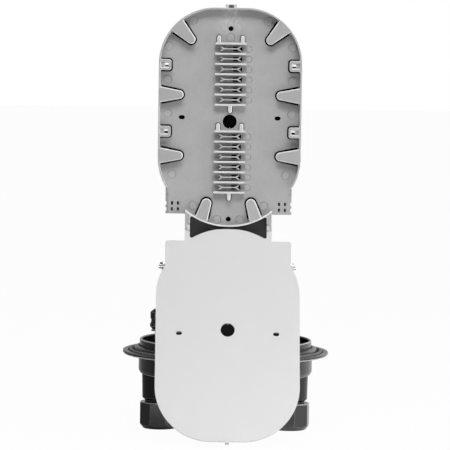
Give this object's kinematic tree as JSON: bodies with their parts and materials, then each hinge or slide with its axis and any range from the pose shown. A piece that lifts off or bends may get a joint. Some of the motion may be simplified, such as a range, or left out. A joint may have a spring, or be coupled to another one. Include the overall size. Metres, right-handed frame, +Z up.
{
  "type": "fibre splice closure",
  "caption": "Opened dome fibre splice closure: a round base on gland nuts carries an upright ribbed splice tray, with the tray's hinged lid leaning down on the base flange.",
  "frame": {"origin": "on the base axis, level with the foot of the spigot inside the dome", "axes": "+Z up along the base axis towards the dome; the tray faces -Y; +X to the right seen from the front"},
  "size_m": [0.2104, 0.2488, 0.4325],
  "materials": {
    "base_plastic": "black moulded, satin",
    "nut_plastic": "black moulded, satin",
    "carrier_plastic": "black moulded, fine grain",
    "tray_plastic": "grey moulded, fine grain",
    "lid_plastic": "light grey moulded, smooth",
    "seal_rubber": "grey elastomer",
    "plug_plastic": "dark moulded",
    "zinc_steel": "bright zinc plated",
    "knob_plastic": "black moulded, glossy"
  },
  "bodies": {
    "closure": {"base_housing": "base_plastic", "dome_seal": "seal_rubber", "splice_tray": "tray_plastic", "hinge_pins": "tray_plastic", "tray_carrier": "carrier_plastic", "foot_screws": "zinc_steel", "clamp_bar": "zinc_steel", "bar_screws": "zinc_steel", "clamp_plates": "zinc_steel", "clamp_screws": "zinc_steel", "clamp_stud": "zinc_steel", "stud_washer": "zinc_steel", "port_seal_1": "seal_rubber", "pressure_ring_1": "nut_plastic", "port_plug_1": "plug_plastic", "port_seal_2": "seal_rubber", "pressure_ring_2": "nut_plastic", "port_plug_2": "plug_plastic", "port_seal_3": "seal_rubber", "pressure_ring_3": "nut_plastic", "port_plug_3": "plug_plastic", "port_seal_4": "seal_rubber", "pressure_ring_4": "nut_plastic", "port_plug_4": "plug_plastic"},
    "lid": {"tray_lid": "lid_plastic"},
    "knob": {"thumb_knob": "knob_plastic"},
    "nut_1": {"gland_nut_1": "nut_plastic"},
    "nut_2": {"gland_nut_2": "nut_plastic"},
    "nut_3": {"gland_nut_3": "nut_plastic"},
    "nut_4": {"gland_nut_4": "nut_plastic"}
  },
  "joints": [
    {"name": "lid_hinge", "type": "hinge", "parent": "closure", "child": "lid", "pos_m": [0, -0.057, 0.1236], "axis": [-1, 0, 0], "range_deg": [0, 158.33]},
    {"name": "gland_nut_1_turn", "type": "hinge", "parent": "closure", "child": "nut_1", "pos_m": [0.0666, 0, -0.0585], "axis": [0, 0, 1], "continuous": true},
    {"name": "gland_nut_2_turn", "type": "hinge", "parent": "closure", "child": "nut_2", "pos_m": [0, 0.0666, -0.0585], "axis": [0, 0, 1], "continuous": true},
    {"name": "gland_nut_3_turn", "type": "hinge", "parent": "closure", "child": "nut_3", "pos_m": [-0.0666, 0, -0.0585], "axis": [0, 0, 1], "continuous": true},
    {"name": "gland_nut_4_turn", "type": "hinge", "parent": "closure", "child": "nut_4", "pos_m": [0, -0.0666, -0.0585], "axis": [0, 0, 1], "continuous": true},
    {"name": "thumb_knob_turn", "type": "hinge", "parent": "closure", "child": "knob", "pos_m": [-0.0681, -0.03, 0.0185], "axis": [0, 0, 1], "continuous": true}
  ]
}
